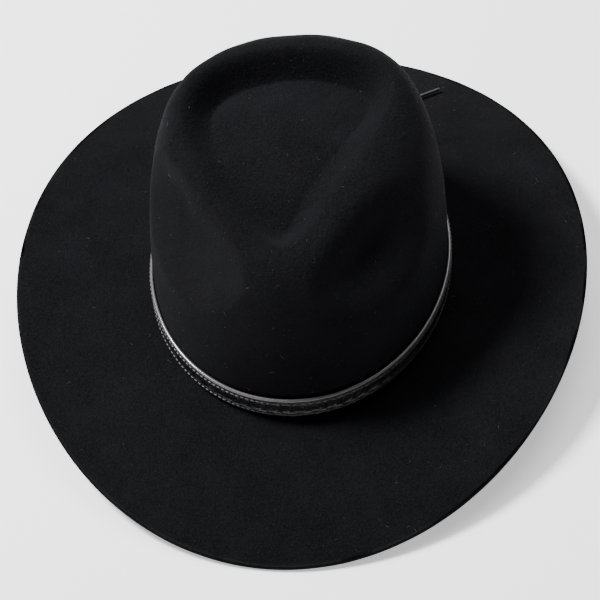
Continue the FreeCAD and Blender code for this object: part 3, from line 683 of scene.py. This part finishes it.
def furFelt():
    # fur felt, brushed short: dull black with a dusty bloom, mottled by handling
    material, tree, shader = newMaterial("black_fur_felt_brushed")
    place = coordinates(tree)
    mottle = node(tree, "ShaderNodeTexNoise", None, Vector=place, Scale=38.0, Detail=5.0, Roughness=0.62)
    # nap grain 0.9 mm
    nap = node(tree, "ShaderNodeTexNoise", None, Vector=place, Scale=1100.0, Detail=3.0, Roughness=0.65)
    clump = node(tree, "ShaderNodeTexNoise", None, Vector=place, Scale=320.0, Detail=3.0, Roughness=0.6)
    spread = node(tree, "ShaderNodeMapRange", None, i0=(mottle, 0), i1=0.30, i2=0.70, i3=0.0, i4=0.32)
    fine = node(tree, "ShaderNodeMapRange", None, i0=(nap, 0), i1=0.36, i2=0.66, i3=0.0, i4=0.85)
    amount = node(tree, "ShaderNodeMath", {"operation": "ADD"}, i0=(spread, 0), i1=(fine, 0))
    colour = blended(tree, (amount, 0), felt["dark"], felt["light"])
    tree.links.new(colour[0].outputs[2], shader.inputs["Base Color"])
    rough = node(tree, "ShaderNodeMath", {"operation": "ADD"}, i0=(nap, 0), i1=(clump, 0))
    bumped(tree, shader, (rough, 0), 0.8, 0.0007)
    shader.inputs["Roughness"].default_value = 0.95
    shader.inputs["Specular IOR Level"].default_value = 0.05
    shader.inputs["Sheen Weight"].default_value = 0.03
    shader.inputs["Sheen Roughness"].default_value = 0.5
    shader.inputs["Sheen Tint"].default_value = linear("#9a9ca6")
    return material


def plainFinish(name, dark, light, roughness, grain, depth, **sockets):
    # two close tones and a bump from one noise whose grain is given in mm
    material, tree, shader = newMaterial(name)
    noise = node(tree, "ShaderNodeTexNoise", None, Vector=coordinates(tree), Scale=1000.0 / grain, Detail=4.0,
                 Roughness=0.6)
    colour = blended(tree, (noise, 0), dark, light)
    tree.links.new(colour[0].outputs[2], shader.inputs["Base Color"])
    bumped(tree, shader, (noise, 0), 0.5, depth * mm)
    shader.inputs["Roughness"].default_value = roughness
    for key, value in sockets.items():
        shader.inputs[key.replace("_", " ")].default_value = value
    return material


def tooledLeather():
    # vegetable-tanned leather, embossed, dyed black and waxed: half-gloss with fine pebbles
    material, tree, shader = newMaterial("black_leather_embossed_waxed")
    place = coordinates(tree)
    pores = node(tree, "ShaderNodeTexVoronoi", None, Vector=place, Scale=1100.0)    # 0.9 mm pebbles
    wear = node(tree, "ShaderNodeTexNoise", None, Vector=place, Scale=160.0, Detail=4.0)
    colour = blended(tree, (wear, 0), "#0a0a0b", "#1d1d20")
    tree.links.new(colour[0].outputs[2], shader.inputs["Base Color"])
    gloss = node(tree, "ShaderNodeMapRange", None, i0=(wear, 0), i1=0.3, i2=0.7, i3=0.30, i4=0.44)
    tree.links.new(gloss.outputs[0], shader.inputs["Roughness"])
    bumped(tree, shader, (pores, 0), 0.4, 0.00015)
    shader.inputs["Coat Weight"].default_value = 0.4
    shader.inputs["Coat Roughness"].default_value = 0.25
    return material


def satin():
    # warp-faced satin: long floats give a sheen across the threads; ribs drawn at 0.8 mm so that they show
    material, tree, shader = newMaterial("black_satin_woven")
    place = coordinates(tree)
    ribs = node(tree, "ShaderNodeTexWave", {"bands_direction": "Z"}, Vector=place, Scale=400.0,
                Distortion=1.5, Detail=2.0)
    cloud = node(tree, "ShaderNodeTexNoise", None, Vector=place, Scale=60.0, Detail=3.0)
    colour = blended(tree, (cloud, 0), "#101116", "#1c1d25")
    tree.links.new(colour[0].outputs[2], shader.inputs["Base Color"])
    bumped(tree, shader, (ribs, 0), 0.25, 0.0001)
    shader.inputs["Roughness"].default_value = 0.34
    shader.inputs["Sheen Weight"].default_value = 0.4
    shader.inputs["Anisotropic"].default_value = 0.4
    return material


feltFinish = furFelt()
bandFinish = tooledLeather()
satinFinish = satin()
lintFinish = plainFinish("lint_cotton_loose", "#4a4b4f", "#77787c", 0.9, 0.5, 0.02)
# rounded strap edges: a real glossy coat, and a pale base colour that is a painted highlight standing in for
# the reflection of the lamps
edgeGlossAndPaintedHighlight = plainFinish("black_leather_edge_glossy_painted_highlight", "#3a3839", "#646062", 0.24, 1.4, 0.03,
                         Coat_Weight=1.0, Coat_Roughness=0.14)
bandThread = plainFinish("waxed_thread_twisted", "#3a3a3d", "#66666a", 0.5, 0.4, 0.05)
laceFinish = plainFinish("black_lace_leather_cut", "#0e0e10", "#232326", 0.42, 0.6, 0.06, Coat_Weight=0.15)
sweatFinish = plainFinish("sweatband_sheepskin_tanned", "#17120f", "#2a211b", 0.48, 0.7, 0.05)
sewingThread = plainFinish("sewing_thread_twisted", "#3b342d", "#5a5048", 0.7, 0.3, 0.03)
ribbonFinish = plainFinish("grosgrain_ribbon_woven", "#131318", "#24242b", 0.55, 0.6, 0.06, Sheen_Weight=0.3)
tapeFinish = plainFinish("cotton_tape_woven", "#15151a", "#2b2b31", 0.85, 0.5, 0.05)
reedFinish = plainFinish("reed_polyethylene_drawn", "#c9c6bd", "#d8d5cc", 0.4, 2.0, 0.01)
paperFinish = plainFinish("tag_paper_coated", "#cfcabd", "#ddd8cb", 0.7, 1.5, 0.01)
pipingFinish = plainFinish("piping_cord_satin_covered", "#111218", "#20212a", 0.4, 0.8, 0.05,
                           Sheen_Weight=0.3)
filmFinish = plainFinish("clear_vinyl_film_rolled", "#e9eaec", "#f4f5f6", 0.08, 30.0, 0.02, IOR=1.53,
                         Transmission_Weight=0.95)

finishPiece(feltHat, "root", "felt", feltFinish, "felt_body")
for piece in (lintSpecks, lintCurls):
    finishPiece(piece, "root", "felt", lintFinish)
finishPiece(strap, "hat_band", "band_leather", bandFinish, "hat_band_strap")
# the rounded edges take the glossy finish with the painted highlight
strap.data.materials.append(edgeGlossAndPaintedHighlight)
strap.data.polygons.foreach_set("material_index", glossAndPaintedHighlightEdges)
finishPiece(lowerStitches, "hat_band", "band_thread", bandThread, "hat_band_lower_stitching")
finishPiece(upperStitches, "hat_band", "band_thread", bandThread, "hat_band_upper_stitching")
finishPiece(laceBar, "hat_band", "lace_leather", laceFinish, "band_lace")
finishPiece(laceKnot, "hat_band", "lace_leather", laceFinish, "lace_knot")
finishPiece(leftEnd, "hat_band", "lace_leather", laceFinish, "lace_tail_left")
finishPiece(rightEnd, "hat_band", "lace_leather", laceFinish, "lace_tail_right")
finishPiece(sweatband, "root", "sweatband_leather", sweatFinish, "sweatband")
finishPiece(sweatStitches, "root", "sewing_thread", sewingThread, "sweatband_stitching")
finishPiece(backTape, "root", "tape_cloth", ribbonFinish, "sweatband_back_tape")
finishPiece(bowLoops, "root", "bow_ribbon", ribbonFinish, "sweatband_bow")
finishPiece(bowKnot, "root", "bow_ribbon", ribbonFinish)
finishPiece(liningSide, "root", "lining_satin", satinFinish, "lining_side")
finishPiece(liningTip, "root", "lining_satin", satinFinish, "lining_tip")
finishPiece(piping, "root", "piping_cord", pipingFinish, "lining_piping")
for name, finish in (("sweatband_reed", reedFinish), ("sweatband_reed_tape", tapeFinish),
                     ("size_tag", paperFinish), ("tip_shield", filmFinish)):
    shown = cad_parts[name]
    shown.data.materials.clear()
    shown.data.materials.append(finish)


print("finishes set")


# ---- floor, light and camera
def bigPlane(name, half, z):
    mesh = bpy.data.meshes.new(name)
    corners = [(-half, -half, z), (half, -half, z), (half, half, z), (-half, half, z)]
    mesh.from_pydata(corners, [], [(0, 1, 2, 3)])
    obj = bpy.data.objects.new(name, mesh)
    bpy.context.scene.collection.objects.link(obj)
    return obj


studio = {"floor": "#f7f7f7", "keyPower": 108.0, "keySize": 0.5, "keyPlace": (-1.15, 0.28, 1.65),
          "topPower": 26.0, "topSize": 1.2, "topPlace": (0.1, 0.95, 1.8), "world": 0.13,
          "floorGlow": 0.6, "floorHalf": 3.0, "floorHeight": -0.0005, "aim": (0, 0, 0.06)}
floor = bigPlane("floor", studio["floorHalf"], studio["floorHeight"])
floorPaint, floorTree, floorShader = newMaterial("studio_paper_matt")
floorShader.inputs["Base Color"].default_value = linear(studio["floor"])
floorShader.inputs["Roughness"].default_value = 0.9
floorShader.inputs["Emission Color"].default_value = (1, 1, 1, 1)
floorShader.inputs["Emission Strength"].default_value = studio["floorGlow"]
floor.data.materials.append(floorPaint)


def softLight(name, place, power, across):
    data = bpy.data.lights.new(name, "AREA")
    data.energy, data.size = power, across
    obj = bpy.data.objects.new(name, data)
    bpy.context.scene.collection.objects.link(obj)
    obj.location = place
    aim = Vector(studio["aim"]) - obj.location
    obj.rotation_euler = aim.to_track_quat("-Z", "Y").to_euler()


softLight("key_light", studio["keyPlace"], studio["keyPower"], studio["keySize"])
softLight("top_light", studio["topPlace"], studio["topPower"], studio["topSize"])
world = bpy.data.worlds.new("studio")
world.use_nodes = True
world.node_tree.nodes["Background"].inputs[0].default_value = (1, 1, 1, 1)
world.node_tree.nodes["Background"].inputs[1].default_value = studio["world"]
bpy.context.scene.world = world

view = {"elevation": 54.17, "azimuth": 12.38, "roll": -4.92, "distance": 1.150, "lens": 113.55,
        "shiftX": -1.96 / 600, "shiftY": -32.34 / 600}
tilt, swing, roll = (math.radians(view[k]) for k in ("elevation", "azimuth", "roll"))
back = Vector((math.sin(swing) * math.cos(tilt), -math.cos(swing) * math.cos(tilt), math.sin(tilt)))
right = (-back).cross(Vector((0, 0, 1))).normalized()
upward = right.cross(-back)
acrossView = math.cos(roll) * right + math.sin(roll) * upward
upView = -math.sin(roll) * right + math.cos(roll) * upward
eye = Vector(seat * mm) + back * view["distance"]
camera = bpy.data.objects.new("camera", bpy.data.cameras.new("camera"))
bpy.context.scene.collection.objects.link(camera)
camera.data.sensor_width, camera.data.lens = 36, view["lens"]
camera.data.shift_x, camera.data.shift_y = view["shiftX"], view["shiftY"]
cameraAxes = zip(acrossView, upView, back)
camera.matrix_world = Matrix([(*row, place) for row, place in zip(cameraAxes, eye)] + [(0, 0, 0, 1)])
bpy.context.scene.camera = camera
print("studio lit")
